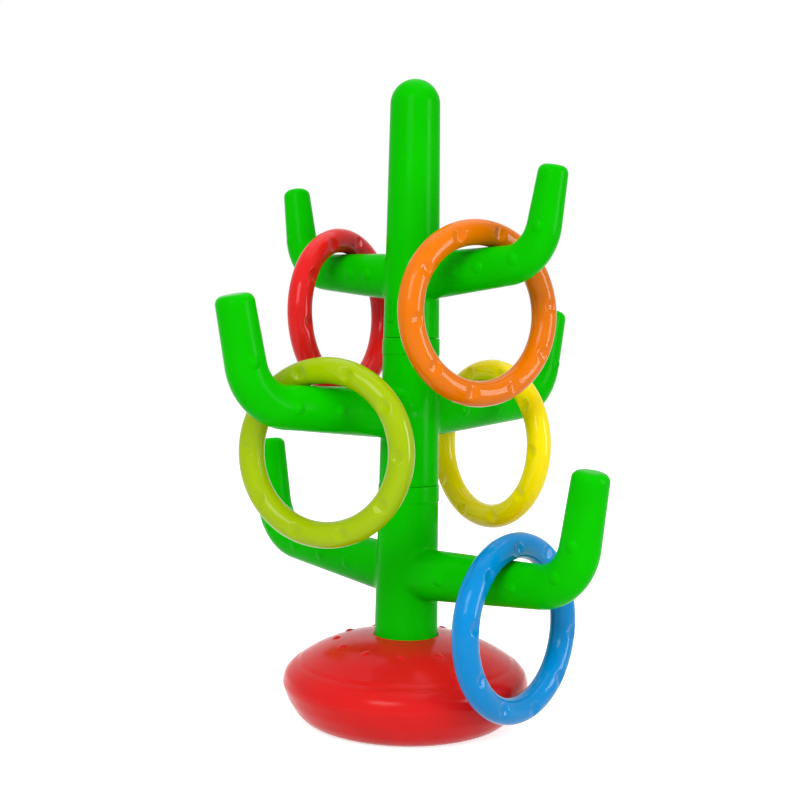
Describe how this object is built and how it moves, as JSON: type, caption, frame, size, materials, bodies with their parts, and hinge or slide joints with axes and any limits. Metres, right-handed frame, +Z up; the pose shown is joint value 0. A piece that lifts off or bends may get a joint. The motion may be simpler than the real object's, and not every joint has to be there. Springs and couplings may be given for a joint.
{
  "type": "ring toss set",
  "caption": "Cactus-shaped ring toss stand of plug-together trunk sections with upturned arms on a round base, with dimpled rings hung on the arms.",
  "frame": {"origin": "centre of the base's flat foot, on the floor", "axes": "+Z up the trunk; -Y towards the side the picture was taken from; +X to the right of the picture"},
  "size_m": [0.2748, 0.28, 0.5],
  "materials": {
    "red_plastic": "glossy moulded polyethylene",
    "green_plastic": "glossy moulded polyethylene",
    "orange_plastic": "glossy moulded polyethylene",
    "yellow_plastic": "glossy moulded polyethylene",
    "lime_plastic": "glossy moulded polyethylene",
    "blue_plastic": "glossy moulded polyethylene"
  },
  "bodies": {
    "base": {"base": "red_plastic"},
    "trunk_lower": {"trunk_lower": "green_plastic"},
    "trunk_middle": {"trunk_middle": "green_plastic"},
    "trunk_top": {"trunk_top": "green_plastic"},
    "ring_red": {"ring_red": "red_plastic"},
    "ring_orange": {"ring_orange": "orange_plastic"},
    "ring_yellow": {"ring_yellow": "yellow_plastic"},
    "ring_lime": {"ring_lime": "lime_plastic"},
    "ring_blue": {"ring_blue": "blue_plastic"}
  },
  "joints": [
    {"name": "lower_pull", "type": "slide", "parent": "base", "child": "trunk_lower", "axis": [0, 0, 1], "range_m": [0, 0.03]},
    {"name": "middle_pull", "type": "slide", "parent": "trunk_lower", "child": "trunk_middle", "axis": [0, 0, 1], "range_m": [0, 0.025]},
    {"name": "top_pull", "type": "slide", "parent": "trunk_middle", "child": "trunk_top", "axis": [0, 0, 1], "range_m": [0, 0.025]},
    {"name": "red_lift", "type": "hinge", "parent": "trunk_top", "child": "ring_red", "pos_m": [-0.05567, 0.03932, 0.40013], "axis": [0.6428, 0.766, 0], "range_deg": [0, 140]},
    {"name": "orange_lift", "type": "hinge", "parent": "trunk_top", "child": "ring_orange", "pos_m": [0.05022, -0.05149, 0.40041], "axis": [-0.6428, -0.766, 0], "range_deg": [0, 140]},
    {"name": "yellow_lift", "type": "hinge", "parent": "trunk_middle", "child": "ring_yellow", "pos_m": [0.06601, 0.05254, 0.29613], "axis": [0.7022, -0.712, 0], "range_deg": [0, 140]},
    {"name": "lime_lift", "type": "hinge", "parent": "trunk_middle", "child": "ring_lime", "pos_m": [-0.06126, -0.0738, 0.29695], "axis": [-0.7022, 0.712, 0], "range_deg": [0, 140]},
    {"name": "blue_lift", "type": "hinge", "parent": "trunk_lower", "child": "ring_blue", "pos_m": [0.0802, -0.07491, 0.17172], "axis": [-0.7145, -0.6997, 0], "range_deg": [0, 140]}
  ]
}
